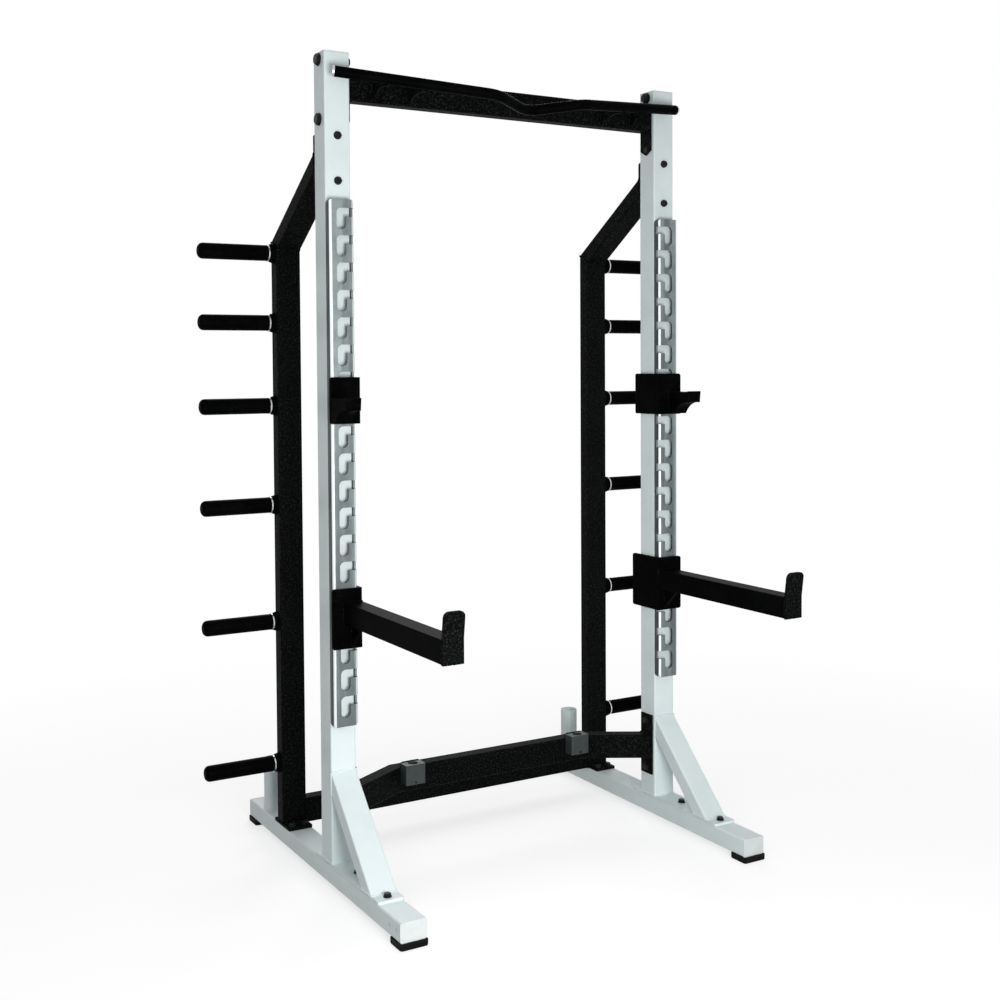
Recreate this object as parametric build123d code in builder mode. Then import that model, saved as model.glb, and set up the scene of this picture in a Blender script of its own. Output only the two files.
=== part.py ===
"""Half rack for barbell training, in millimetres.

+Z is up, -Y is the front, and the origin lies on the floor under the middle of the rack.
Two white front uprights carry slotted hook channels. Black rear posts hold plate pegs.
"""
import os
from math import cos, radians, sin, sqrt, tan

from build123d import *

os.makedirs("parts", exist_ok=True)

# Overall layout, measured from the middle of the front uprights
upright_spacing = 1184.0
front_reach = 706.0
rear_post_setback = 384.5
bar_holder_setback = 553.0

# Square tube of the front uprights
upright_tube = 80.0
upright_wall = 5.0
upright_corner = 5.0
upright_top = 2466.0
upright_cap_thickness = 3.0

# Flat tube that the posts, braces and cross members share
flat_tube_wide = 80.0
flat_tube_thin = 50.0
flat_tube_wall = 4.0
flat_tube_corner = 5.0

# Base rails and their feet
rail_width = 80.0
rail_height = 56.0
rail_wall = 4.0
rail_corner = 6.0
rail_front_reach = 496.0
rail_rear_reach = 672.0
rail_cap_thickness = 3.0
rail_cap_plug = 15.0
foot_height = 18.0
foot_length = 72.0
foot_side_margin = 3.0
foot_end_margin = 9.0
foot_corner = 10.0
foot_chamfer = 3.0
rail_hole_diameter = 9.0
rail_hole_inset = 23.0
rail_hole_pitch = 39.0

# Plates and bolts
plate_thickness = 8.0
base_plate_width = 80.0
base_plate_front = 359.0
base_plate_rear = 87.0
plate_corner = 6.0
brace_angle = 45.0
brace_top = 356.0
bolt_diameter = 12.0
bolt_head_across = 19.0
bolt_head_height = 8.0
bolt_nut_height = 10.0
bolt_clearance = 1.0
beam_bolt_diameter = 20.0
beam_bolt_head_across = 30.0
beam_bolt_head_height = 12.5
beam_bolt_nut_height = 16.0
base_bolt_setbacks = (-335.0, -135.0, 62.0)

# Hook channel on the front of each upright
hook_channel_depth = 25.0
hook_channel_wall = 6.0
hook_channel_bend = 11.0
hook_channel_bottom = 494.0
hook_channel_top = 2036.0
hook_channel_corner = 12.0
slot_count = 19
slot_pitch = 79.4
first_slot_top = 2012.0
slot_height = 63.0
slot_width = 30.0
slot_tooth = 26.0
notch_height = 26.0
flange_rear_strip = 12.0

# Rear posts and the plates at their ends
rear_bend_drop = 532.0
rear_arm_rise = 33.0
rear_foot_plate_length = 132.0
rear_foot_plate_front = 79.5
rear_foot_bolt_spread = 44.0
rear_foot_bolt_inset = 22.0
top_plate_drop = 396.0
top_plate_height = 175.0
top_plate_bolt_inset = 22.0
plate_chamfer = 14.0

# Plate pegs, bottom to top, as shares of the height of the posts' bend
peg_shares = (0.14323, 0.38004, 0.57394, 0.73785, 0.87384, 0.98811)
peg_diameter = 50.0
peg_wall = 3.5
peg_length = 247.5
peg_tip_radius = 16.0
peg_ring_width = 4.0
peg_ring_step = 1.5
peg_collar_length = 20.0
peg_collar_flare = 8.0

# Top beam and pull-up bar
top_beam_drop = 96.0
beam_plate_drop = 76.0
beam_plate_point = 15.0
beam_plate_width = 55.0
beam_plate_thickness = 6.0
beam_bolt_inset = 18.0
beam_bolt_rise = 35.0
bar_diameter = 32.0
bar_wall = 3.0
bar_end_overhang = 22.0
bar_end_front = 72.0
bar_end_rise = 30.0
bar_knee_offset = 150.0
bar_knee_front = 212.0
bar_knee_drop = 18.0
bar_middle_front = 128.0
bar_middle_drop = 39.0
bar_bend_radius = 70.0
bar_cap_length = 6.0
bar_bracket_insets = (83.5, 199.5)
bar_bracket_thickness = 8.0
bar_bracket_rim = 5.0
bar_bracket_arch = 14.0
weld_gap = 0.2

# Lower front beam with bent ends, its sockets and the rear cross tube
lower_beam_bottom = 209.5
lower_beam_setback = 118.0
lower_beam_bend_clearance = 9.5
lower_beam_end_setback = 4.0
lower_plate_bottom = 154.0
lower_plate_height = 203.0
lower_plate_width = 60.0
lower_plate_bolt_inset = 22.0
socket_offset = 309.0
socket_width = 68.0
socket_depth = 43.0
socket_height = 63.0
socket_bottom = 242.0
socket_bore = 32.0
socket_floor = 6.0
socket_corner = 4.0
set_screw_diameter = 6.0
set_screw_height = 3.0
set_screw_rise = 7.0
rear_cross_lift = -1.0

# Bar holder tubes on the rails
bar_holder_diameter = 60.0
bar_holder_wall = 3.5
bar_holder_height = 169.0
bar_holder_rim = 1.5

# Hooks that hang in the slots: J-cups and spotter arms
hook_gap = 0.5
hook_side_gap = 2.0
hook_plate_thickness = 8.0
hook_outer_margin = 5.0
hook_corner = 8.0
hook_bend = 3.0
stud_diameter = 25.0
stud_seat_gap = 0.3
stud_head_width = 38.0
stud_head_height = 24.0
stud_head_thickness = 6.0
stud_head_gap = 0.5
jcup_slots_above_count = 6
jcup_stud_rise = 22.0
jcup_height = 136.0
jcup_leg_reach = 54.0
jcup_horn_width = 50.0
jcup_horn_length = 107.0
jcup_horn_root = 72.0
jcup_horn_tip = 38.0
jcup_horn_heel = 30.0
jcup_horn_hollow = 14.0
jcup_seat_rise = 75.0
jcup_lip = 4.0
jcup_lip_length = 22.0
jcup_tip_round = 3.0
arm_slots_above_count = 14
arm_stud_rise = 45.8
arm_bracket_height = 177.0
arm_leg_reach = 71.0
arm_tube_width = 60.0
arm_tube_height = 65.0
arm_tube_wall = 4.0
arm_tube_corner = 5.0
arm_tube_rise = 72.5
arm_stop_height = 138.0
arm_stop_thickness = 10.0
arm_stop_lean = 10.0
arm_stop_round = 16.0
arm_gusset_length = 69.0
arm_gusset_thickness = 10.0

# Places worked out from the sizes above
rear_reach = rail_rear_reach + foot_end_margin
upright_y = (front_reach - rear_reach) / 2
half_spacing = upright_spacing / 2
half_tube = upright_tube / 2
rail_top = foot_height + rail_height
base_plate_top = rail_top + plate_thickness
front_face_y = upright_y - half_tube
rear_face_y = upright_y + half_tube
channel_face_y = front_face_y - hook_channel_depth
post_y = upright_y + rear_post_setback
post_inner_x = half_spacing - flat_tube_wide / 2
post_outer_x = half_spacing + flat_tube_wide / 2
upright_inner_x = half_spacing - half_tube
upright_outer_x = half_spacing + half_tube
plate_inner_x = upright_inner_x - beam_plate_thickness
bar_end_offset = half_spacing + bar_end_overhang
lower_beam_bend_offset = socket_offset + socket_width / 2 + lower_beam_bend_clearance
rear_bend_height = upright_top - rear_bend_drop
peg_heights = [rear_bend_height * share for share in peg_shares]
top_plate_bottom = upright_top - top_plate_drop
top_beam_middle = upright_top - top_beam_drop
beam_top = top_beam_middle + flat_tube_wide / 2
beam_plate_bottom = top_beam_middle - flat_tube_wide / 2 - beam_plate_drop
beam_bolt_low = beam_plate_bottom + beam_bolt_inset
beam_bolt_high = beam_top + beam_bolt_rise
bar_end_height = top_beam_middle + bar_end_rise
bar_knee_height = top_beam_middle - bar_knee_drop
bar_middle_height = top_beam_middle - bar_middle_drop
bolt_hole = bolt_diameter + bolt_clearance
beam_bolt_hole = beam_bolt_diameter + bolt_clearance
sides = (("left", -1), ("right", 1))


def write(block, name):
    """Label one finished piece and store it as a STEP file."""
    block.part.label = name
    export_step(block.part, f"parts/{name}.step")


def plan_plane(x, y, z):
    """Level plane at a point, for profiles that rise along +Z."""
    return Plane(origin=(x, y, z), x_dir=(1, 0, 0), z_dir=(0, 0, 1))


def front_plane(x, y, z):
    """Upright plane that faces the front; its sketch axes are X and Z."""
    return Plane(origin=(x, y, z), x_dir=(1, 0, 0), z_dir=(0, -1, 0))


def side_plane(x):
    """Upright plane across X; its sketch axes are Y and Z."""
    return Plane(origin=(x, 0, 0), x_dir=(0, 1, 0), z_dir=(1, 0, 0))


def across_plane(x, y, z):
    """Upright plane across X with its origin at a point."""
    return Plane(origin=(x, y, z), x_dir=(0, 1, 0), z_dir=(1, 0, 0))


def tube_profile(width, height, wall, corner):
    """Hollow rectangle with rounded corners, drawn in the active sketch."""
    RectangleRounded(width, height, corner)
    RectangleRounded(width - 2 * wall, height - 2 * wall, max(corner - wall, 1.0), mode=Mode.SUBTRACT)


def soften_along(block, direction, radius):
    """Round the edges of a part that run along one direction."""
    way = Vector(*direction).normalized()
    fillet(block.edges().filter_by(lambda edge: abs((edge % 0.5).dot(way)) > 0.999), radius)


# Base rails, one under each side, lying flat with an open end at the front and the rear
rail_start_y = upright_y - rail_front_reach + rail_cap_thickness
rail_end_y = upright_y + rail_rear_reach - rail_cap_thickness
rail_middle_z = foot_height + rail_height / 2
for side, sign in sides:
    x = sign * half_spacing
    with BuildPart() as base_rail:
        with BuildSketch(front_plane(x, rail_end_y, rail_middle_z)):
            tube_profile(rail_width, rail_height, rail_wall, rail_corner)
        extrude(amount=rail_end_y - rail_start_y)
        with BuildSketch(plan_plane(x, upright_y, rail_top - rail_wall)):
            with Locations(*[(0, setback) for setback in base_bolt_setbacks]):
                Circle(bolt_hole / 2)
            rear_bolt_y = rear_post_setback - rear_foot_plate_front + rear_foot_bolt_inset
            with Locations((0, rear_bolt_y)):
                with GridLocations(rear_foot_bolt_spread, 1, 2, 1):
                    Circle(bolt_hole / 2)
        extrude(amount=rail_wall, mode=Mode.SUBTRACT)
        hole_y = rail_start_y + rail_hole_inset
        with BuildSketch(across_plane(x + sign * rail_width / 2, hole_y, rail_middle_z)):
            with Locations((0, 0), (rail_hole_pitch, 0)):
                Circle(rail_hole_diameter / 2)
        extrude(amount=-sign * rail_wall, mode=Mode.SUBTRACT)
    write(base_rail, f"{side}_base_rail")

# Plastic plugs that close both ends of each rail
with BuildPart() as rail_end_caps:
    plug_inset = 2 * (rail_wall + weld_gap)
    plug_corner = max(rail_corner - rail_wall, 1.0)
    for side, sign in sides:
        x = sign * half_spacing
        for end_y, way in ((rail_start_y, -1), (rail_end_y, 1)):
            end_plane = Plane(origin=(x, end_y, rail_middle_z), x_dir=(1, 0, 0), z_dir=(0, way, 0))
            with BuildSketch(end_plane):
                RectangleRounded(rail_width, rail_height, rail_corner)
            extrude(amount=rail_cap_thickness)
            with BuildSketch(end_plane):
                RectangleRounded(rail_width - plug_inset, rail_height - plug_inset, plug_corner)
            extrude(amount=-rail_cap_plug)
write(rail_end_caps, "rail_end_caps")

# Rubber feet under the four rail ends
foot_width = rail_width + 2 * foot_side_margin
foot_places = (
    ("front", upright_y - rail_front_reach - foot_end_margin + foot_length / 2),
    ("rear", upright_y + rail_rear_reach + foot_end_margin - foot_length / 2),
)
for side, sign in sides:
    for end, foot_y in foot_places:
        with BuildPart() as foot:
            with BuildSketch(plan_plane(sign * half_spacing, foot_y, 0)):
                RectangleRounded(foot_width, foot_length, foot_corner)
            extrude(amount=foot_height)
            chamfer(foot.faces().sort_by(Axis.Z)[0].edges(), foot_chamfer)
        write(foot, f"{side}_{end}_foot")

# Base plates that join each upright and its brace to the rail
base_plate_length = base_plate_front + base_plate_rear
base_plate_y = upright_y + (base_plate_rear - base_plate_front) / 2
for side, sign in sides:
    x = sign * half_spacing
    with BuildPart() as base_plate:
        with BuildSketch(plan_plane(x, base_plate_y, rail_top)):
            RectangleRounded(base_plate_width, base_plate_length, plate_corner)
        extrude(amount=plate_thickness)
        with BuildSketch(plan_plane(x, upright_y, rail_top)):
            with Locations(*[(0, setback) for setback in base_bolt_setbacks]):
                Circle(bolt_hole / 2)
        extrude(amount=plate_thickness, mode=Mode.SUBTRACT)
    write(base_plate, f"{side}_upright_base_plate")

# Front uprights with cross holes for the beam bolts and the rear arm bolts
upright_tube_top = upright_top - upright_cap_thickness
rear_arm_bolts = (
    top_plate_bottom + top_plate_bolt_inset,
    top_plate_bottom + top_plate_height - top_plate_bolt_inset,
)
lower_bolts = (
    lower_plate_bottom + lower_plate_bolt_inset,
    lower_plate_bottom + lower_plate_height - lower_plate_bolt_inset,
)
for side, sign in sides:
    x = sign * half_spacing
    with BuildPart() as front_upright:
        with BuildSketch(plan_plane(x, upright_y, base_plate_top)):
            tube_profile(upright_tube, upright_tube, upright_wall, upright_corner)
        extrude(amount=upright_tube_top - base_plate_top)
        with BuildSketch(front_plane(x, upright_y, 0)):
            with Locations(*[(0, height) for height in rear_arm_bolts]):
                Circle(bolt_hole / 2)
        extrude(amount=half_tube, both=True, mode=Mode.SUBTRACT)
        with BuildSketch(across_plane(x, upright_y, 0)):
            with Locations((0, beam_bolt_low), (0, beam_bolt_high)):
                Circle(beam_bolt_hole / 2)
        extrude(amount=half_tube, both=True, mode=Mode.SUBTRACT)
        with BuildSketch(across_plane(sign * upright_inner_x, upright_y, 0)):
            with Locations(*[(0, height) for height in lower_bolts]):
                Circle(bolt_hole / 2)
        extrude(amount=sign * upright_wall, mode=Mode.SUBTRACT)
    write(front_upright, f"{side}_front_upright")

# Flat caps that close the tops of the uprights
with BuildPart() as upright_caps:
    for side, sign in sides:
        with BuildSketch(plan_plane(sign * half_spacing, upright_y, upright_tube_top)):
            RectangleRounded(upright_tube, upright_tube, upright_corner)
        extrude(amount=upright_cap_thickness)
write(upright_caps, "upright_caps")

# Sloping braces from each upright down to the front of its base plate
brace_slope = tan(radians(brace_angle))
brace_drop = flat_tube_thin / cos(radians(brace_angle))
brace_wall_drop = flat_tube_wall / cos(radians(brace_angle))


def brace_outline(inset):
    """Side outline of a brace, moved in from its skin by a vertical inset."""
    high = brace_top - inset
    low = brace_top - brace_drop + inset
    front_high = front_face_y - (high - base_plate_top) / brace_slope
    front_low = front_face_y - (low - base_plate_top) / brace_slope
    return (
        (front_face_y, high),
        (front_face_y, low),
        (front_low, base_plate_top),
        (front_high, base_plate_top),
    )


for side, sign in sides:
    start_x = sign * half_spacing - flat_tube_wide / 2
    with BuildPart() as upright_brace:
        with BuildSketch(side_plane(start_x)):
            Polygon(*brace_outline(0), align=None)
        extrude(amount=flat_tube_wide)
        soften_along(upright_brace, (0, 1, brace_slope), flat_tube_corner)
        with BuildSketch(side_plane(start_x + flat_tube_wall)):
            Polygon(*brace_outline(brace_wall_drop), align=None)
        extrude(amount=flat_tube_wide - 2 * flat_tube_wall, mode=Mode.SUBTRACT)
    write(upright_brace, f"{side}_upright_brace")

# Hook channels: bent plate with J slots that open towards the middle of the rack
channel_half = half_tube
corner_start = half_tube - upright_corner
flange_step = max(channel_half - hook_channel_wall - corner_start, 0)
flange_seat = upright_corner - sqrt(upright_corner**2 - flange_step**2) - weld_gap
channel_back_y = front_face_y + max(flange_seat, 0)
channel_height = hook_channel_top - hook_channel_bottom
slot_tops = [first_slot_top - slot_pitch * step for step in range(slot_count)]
slot_centre_shift = slot_tooth + slot_width / 2
for side, sign in sides:
    x = sign * half_spacing
    inner_x = sign * upright_inner_x
    with BuildPart() as hook_channel:
        with BuildSketch(plan_plane(x, 0, hook_channel_bottom)):
            with BuildLine():
                Polyline(
                    (-channel_half, channel_back_y),
                    (-channel_half, channel_face_y),
                    (channel_half, channel_face_y),
                    (channel_half, channel_back_y),
                    (channel_half - hook_channel_wall, channel_back_y),
                    (channel_half - hook_channel_wall, channel_face_y + hook_channel_wall),
                    (hook_channel_wall - channel_half, channel_face_y + hook_channel_wall),
                    (hook_channel_wall - channel_half, channel_back_y),
                    close=True,
                )
            make_face()
        extrude(amount=channel_height)
        bends = hook_channel.edges().filter_by(Axis.Z).group_by(Axis.Y)[0]
        fillet(bends, hook_channel_bend)
        with BuildSketch(front_plane(x, channel_back_y, hook_channel_bottom + channel_height / 2)):
            RectangleRounded(upright_tube, channel_height, hook_channel_corner)
        extrude(amount=channel_back_y - channel_face_y, mode=Mode.INTERSECT)
        with BuildSketch(front_plane(inner_x, channel_face_y, 0)):
            for top in slot_tops:
                with Locations((sign * slot_centre_shift, top - slot_height / 2)):
                    SlotOverall(slot_height, slot_width, rotation=90)
                with Locations((sign * slot_centre_shift / 2, top - notch_height / 2)):
                    Rectangle(slot_centre_shift, notch_height)
        extrude(amount=-hook_channel_wall, mode=Mode.SUBTRACT)
        flange_cut = channel_back_y - channel_face_y - flange_rear_strip
        with BuildSketch(front_plane(inner_x, channel_face_y, 0)):
            for top in slot_tops:
                with Locations((sign * hook_channel_wall / 2, top - notch_height / 2)):
                    Rectangle(hook_channel_wall, notch_height)
        extrude(amount=-flange_cut, mode=Mode.SUBTRACT)
    write(hook_channel, f"{side}_hook_channel")

# Foot plates of the rear posts, bolted to the rails
rear_plate_front_y = post_y - rear_foot_plate_front
for side, sign in sides:
    x = sign * half_spacing
    with BuildPart() as rear_foot_plate:
        with BuildSketch(plan_plane(x, rear_plate_front_y + rear_foot_plate_length / 2, rail_top)):
            RectangleRounded(flat_tube_wide, rear_foot_plate_length, plate_corner)
        extrude(amount=plate_thickness)
        with BuildSketch(plan_plane(x, rear_plate_front_y + rear_foot_bolt_inset, rail_top)):
            with GridLocations(rear_foot_bolt_spread, 1, 2, 1):
                Circle(bolt_hole / 2)
        extrude(amount=plate_thickness, mode=Mode.SUBTRACT)
    write(rear_foot_plate, f"{side}_rear_post_foot_plate")

# Rear posts and the arms mitred to their tops
half_thin = flat_tube_thin / 2
arm_slope = tan(radians(rear_arm_rise))
mitre_slope = tan(radians((90 - rear_arm_rise) / 2))
top_plate_rear_y = rear_face_y + plate_thickness


def mitre_height(y):
    """Height of the mitre cut between a rear post and its arm."""
    return rear_bend_height + (y - post_y) * mitre_slope


def post_outline(inset):
    """Side outline of the upright part of a rear post."""
    front = post_y - half_thin + inset
    rear = post_y + half_thin - inset
    return (
        (front, base_plate_top),
        (rear, base_plate_top),
        (rear, mitre_height(rear)),
        (front, mitre_height(front)),
    )


def arm_outline(inset):
    """Side outline of the sloping arm above a rear post."""
    front = post_y - half_thin + inset
    rear = post_y + half_thin - inset
    return (
        (front, mitre_height(front)),
        (rear, mitre_height(rear)),
        (top_plate_rear_y, mitre_height(rear) + (rear - top_plate_rear_y) * arm_slope),
        (top_plate_rear_y, mitre_height(front) + (front - top_plate_rear_y) * arm_slope),
    )


for side, sign in sides:
    start_x = sign * half_spacing - flat_tube_wide / 2
    with BuildPart() as rear_post:
        with BuildSketch(side_plane(start_x)):
            Polygon(*post_outline(0), align=None)
        extrude(amount=flat_tube_wide)
        soften_along(rear_post, (0, 0, 1), flat_tube_corner)
        with BuildSketch(side_plane(start_x + flat_tube_wall)):
            Polygon(*post_outline(flat_tube_wall), align=None)
        extrude(amount=flat_tube_wide - 2 * flat_tube_wall, mode=Mode.SUBTRACT)
    write(rear_post, f"{side}_rear_post")
    with BuildPart() as rear_arm:
        with BuildSketch(side_plane(start_x)):
            Polygon(*arm_outline(0), align=None)
        extrude(amount=flat_tube_wide)
        soften_along(rear_arm, (0, -1, arm_slope), flat_tube_corner)
        with BuildSketch(side_plane(start_x + flat_tube_wall)):
            Polygon(*arm_outline(flat_tube_wall), align=None)
        extrude(amount=flat_tube_wide - 2 * flat_tube_wall, mode=Mode.SUBTRACT)
    write(rear_arm, f"{side}_rear_arm")

# Plates that bolt the rear arms to the backs of the uprights
for side, sign in sides:
    x = sign * half_spacing
    with BuildPart() as rear_top_plate:
        with BuildSketch(front_plane(x, top_plate_rear_y, top_plate_bottom + top_plate_height / 2)):
            outline = Rectangle(upright_tube, top_plate_height)
            chamfer(outline.vertices(), plate_chamfer)
        extrude(amount=plate_thickness)
        with BuildSketch(front_plane(x, top_plate_rear_y, 0)):
            with Locations(*[(0, height) for height in rear_arm_bolts]):
                Circle(bolt_hole / 2)
        extrude(amount=plate_thickness, mode=Mode.SUBTRACT)
    write(rear_top_plate, f"{side}_rear_arm_plate")

# Plate pegs with a flared collar and a bright ring at the root; the collar spans the post's narrow side
peg_root = post_outer_x + peg_collar_length + peg_ring_width
for side, sign in sides:
    with BuildPart() as plate_pegs:
        for height in peg_heights:
            start = Plane(origin=(sign * peg_root, post_y, height), x_dir=(0, 1, 0), z_dir=(sign, 0, 0))
            reach = peg_length - peg_collar_length - peg_ring_width
            with BuildSketch(start):
                Circle(peg_diameter / 2)
            extrude(amount=reach)
            with BuildSketch(start):
                Circle(peg_diameter / 2 - peg_wall)
            extrude(amount=reach - peg_tip_radius, mode=Mode.SUBTRACT)
        tips = plate_pegs.edges().filter_by(GeomType.CIRCLE).group_by(Axis.X)[-1 if sign > 0 else 0]
        fillet(tips, peg_tip_radius)
    write(plate_pegs, f"{side}_plate_pegs")

with BuildPart() as peg_rings:
    for side, sign in sides:
        for height in peg_heights:
            origin = (sign * (post_outer_x + peg_collar_length), post_y, height)
            with BuildSketch(Plane(origin=origin, x_dir=(0, 1, 0), z_dir=(sign, 0, 0))):
                Circle(peg_diameter / 2 + peg_ring_step)
            extrude(amount=peg_ring_width)
write(peg_rings, "peg_rings")

with BuildPart() as peg_collars:
    for side, sign in sides:
        for height in peg_heights:
            root = Plane(origin=(sign * post_outer_x, post_y, height), x_dir=(0, 1, 0), z_dir=(sign, 0, 0))
            with BuildSketch(root):
                Ellipse(half_thin, peg_diameter / 2 + peg_collar_flare)
            with BuildSketch(root.offset(peg_collar_length)):
                Circle(peg_diameter / 2 + peg_ring_step)
            loft()
write(peg_collars, "peg_collars")

# Top beam between the uprights, with pointed end plates
with BuildPart() as top_beam:
    with BuildSketch(across_plane(-plate_inner_x, upright_y, top_beam_middle)):
        tube_profile(flat_tube_thin, flat_tube_wide, flat_tube_wall, flat_tube_corner)
    extrude(amount=2 * plate_inner_x)
write(top_beam, "top_beam")

with BuildPart() as beam_end_plates:
    plate_shoulder = beam_plate_bottom + beam_plate_point
    half_width = beam_plate_width / 2
    for side, sign in sides:
        with BuildSketch(across_plane(sign * upright_inner_x, upright_y, 0)):
            Polygon(
                (-half_width, plate_shoulder),
                (0, beam_plate_bottom),
                (half_width, plate_shoulder),
                (half_width, beam_top),
                (-half_width, beam_top),
                align=None,
            )
            with Locations((0, beam_bolt_low)):
                Circle(beam_bolt_hole / 2, mode=Mode.SUBTRACT)
        extrude(amount=-sign * beam_plate_thickness)
write(beam_end_plates, "beam_end_plates")

# Pull-up bar: one bent tube in front of the beam, held by bracket plates
bar_half_points = (
    (bar_end_offset, upright_y - bar_end_front, bar_end_height),
    (bar_knee_offset, upright_y - bar_knee_front, bar_knee_height),
)
bar_middle = (0, upright_y - bar_middle_front, bar_middle_height)
bar_points = [
    (-bar_half_points[0][0], *bar_half_points[0][1:]),
    (-bar_half_points[1][0], *bar_half_points[1][1:]),
    bar_middle,
    bar_half_points[1],
    bar_half_points[0],
]
bar_start = Vector(*bar_points[0])
bar_way = (Vector(*bar_points[1]) - bar_start).normalized()
with BuildPart() as pull_up_bar:
    with BuildLine():
        FilletPolyline(*bar_points, radius=bar_bend_radius)
    with BuildSketch(Plane(origin=bar_start, z_dir=bar_way)):
        Circle(bar_diameter / 2)
        Circle(bar_diameter / 2 - bar_wall, mode=Mode.SUBTRACT)
    sweep()
write(pull_up_bar, "pull_up_bar")

with BuildPart() as bar_end_caps:
    for side, sign in sides:
        end = Vector(sign * bar_end_offset, bar_start.Y, bar_start.Z)
        outward = Vector(sign * abs(bar_way.X), -bar_way.Y, -bar_way.Z)
        with BuildSketch(Plane(origin=end, z_dir=outward)):
            Circle(bar_diameter / 2)
        extrude(amount=bar_cap_length)
write(bar_end_caps, "bar_end_caps")

beam_front_y = upright_y - half_thin
beam_half_flat = flat_tube_wide / 2 - flat_tube_corner
bracket_low_z = top_beam_middle - beam_half_flat
for side, sign in sides:
    outward = Vector(sign * abs(bar_way.X), -bar_way.Y, -bar_way.Z)
    with BuildPart() as bar_brackets:
        for inset in bar_bracket_insets:
            bracket_x = upright_inner_x - inset
            share = (bar_end_offset - bracket_x) / (bar_end_offset - bar_knee_offset)
            bar_y = upright_y - bar_end_front + (bar_end_front - bar_knee_front) * share
            bar_z = bar_end_height + (bar_knee_height - bar_end_height) * share
            under_z = bar_z - bar_diameter / 2 - bar_bracket_rim
            arch_y = (beam_front_y + bar_y) / 2
            arch_z = (bracket_low_z + under_z) / 2 + bar_bracket_arch
            with BuildSketch(side_plane(sign * bracket_x - bar_bracket_thickness / 2)):
                with BuildLine():
                    ThreePointArc((beam_front_y, bracket_low_z), (arch_y, arch_z), (bar_y, under_z))
                    Polyline(
                        (bar_y, under_z),
                        (bar_y, bar_z),
                        (beam_front_y, top_beam_middle + beam_half_flat),
                        (beam_front_y, bracket_low_z),
                    )
                make_face()
            extrude(amount=bar_bracket_thickness)
            with Locations(Plane(origin=(sign * bracket_x, bar_y, bar_z), z_dir=outward)):
                Cylinder(bar_diameter / 2 + weld_gap, 3 * bar_diameter, mode=Mode.SUBTRACT)
    write(bar_brackets, f"{side}_bar_brackets")

# Lower front beam: a flat tube bent forward at both ends
bend_angle_run = plate_inner_x - lower_beam_bend_offset
bend_angle_rise = lower_beam_setback - lower_beam_end_setback
end_slope = bend_angle_rise / bend_angle_run
end_length = sqrt(bend_angle_run**2 + bend_angle_rise**2)


def beam_edge(shift):
    """One edge of the lower beam in plan, moved back from its middle line by a shift."""
    bend_shift = shift * (end_length - bend_angle_run) / bend_angle_rise
    bend_x = lower_beam_bend_offset + bend_shift
    bend_y = upright_y + lower_beam_setback + shift
    end_y = bend_y - (plate_inner_x - bend_x) * end_slope
    return [(-plate_inner_x, end_y), (-bend_x, bend_y), (bend_x, bend_y), (plate_inner_x, end_y)]


with BuildPart() as lower_front_beam:
    with BuildSketch(plan_plane(0, 0, lower_beam_bottom)):
        Polygon(*beam_edge(-half_thin), *reversed(beam_edge(half_thin)), align=None)
    extrude(amount=flat_tube_wide)
    long_edges = lower_front_beam.edges().filter_by(lambda edge: edge.length > 2 * flat_tube_wide)
    fillet(long_edges, flat_tube_corner)
    inner_half = half_thin - flat_tube_wall
    with BuildSketch(plan_plane(0, 0, lower_beam_bottom + flat_tube_wall)):
        Polygon(*beam_edge(-inner_half), *reversed(beam_edge(inner_half)), align=None)
    extrude(amount=flat_tube_wide - 2 * flat_tube_wall, mode=Mode.SUBTRACT)
write(lower_front_beam, "lower_front_beam")

with BuildPart() as lower_end_plates:
    for side, sign in sides:
        middle_z = lower_plate_bottom + lower_plate_height / 2
        with BuildSketch(across_plane(sign * upright_inner_x, upright_y, middle_z)):
            Rectangle(lower_plate_width, lower_plate_height)
        extrude(amount=-sign * beam_plate_thickness)
        with BuildSketch(across_plane(sign * upright_inner_x, upright_y, 0)):
            with Locations(*[(0, height) for height in lower_bolts]):
                Circle(bolt_hole / 2)
        extrude(amount=-sign * beam_plate_thickness, mode=Mode.SUBTRACT)
write(lower_end_plates, "lower_end_plates")

# Upright sockets on the front of the lower beam, each with a set screw
socket_y = upright_y + lower_beam_setback - half_thin - socket_depth / 2
for side, sign in sides:
    x = sign * socket_offset
    with BuildPart() as peg_socket:
        with BuildSketch(plan_plane(x, socket_y, socket_bottom)):
            RectangleRounded(socket_width, socket_depth, socket_corner)
        extrude(amount=socket_height)
        with BuildSketch(plan_plane(x, socket_y, socket_bottom + socket_floor)):
            Circle(socket_bore / 2)
        extrude(amount=socket_height - socket_floor, mode=Mode.SUBTRACT)
    write(peg_socket, f"{side}_peg_socket")

with BuildPart() as set_screws:
    for side, sign in sides:
        face = front_plane(sign * socket_offset, socket_y - socket_depth / 2, socket_bottom + set_screw_rise)
        with BuildSketch(face):
            Circle(set_screw_diameter / 2)
        extrude(amount=set_screw_height)
write(set_screws, "set_screws")

# Rear cross tube between the rear posts
with BuildPart() as rear_cross_tube:
    with BuildSketch(across_plane(-post_inner_x, post_y, rail_top + rear_cross_lift + flat_tube_wide / 2)):
        tube_profile(flat_tube_thin, flat_tube_wide, flat_tube_wall, flat_tube_corner)
    extrude(amount=2 * post_inner_x)
write(rear_cross_tube, "rear_cross_tube")

# Bar holders: open tubes that stand on the rails behind the rear posts
for side, sign in sides:
    with BuildPart() as bar_holder:
        with BuildSketch(plan_plane(sign * half_spacing, upright_y + bar_holder_setback, rail_top)):
            Circle(bar_holder_diameter / 2)
            Circle(bar_holder_diameter / 2 - bar_holder_wall, mode=Mode.SUBTRACT)
        extrude(amount=bar_holder_height)
        fillet(bar_holder.faces().sort_by(Axis.Z)[-1].edges(), bar_holder_rim)
    write(bar_holder, f"{side}_bar_holder")

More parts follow.
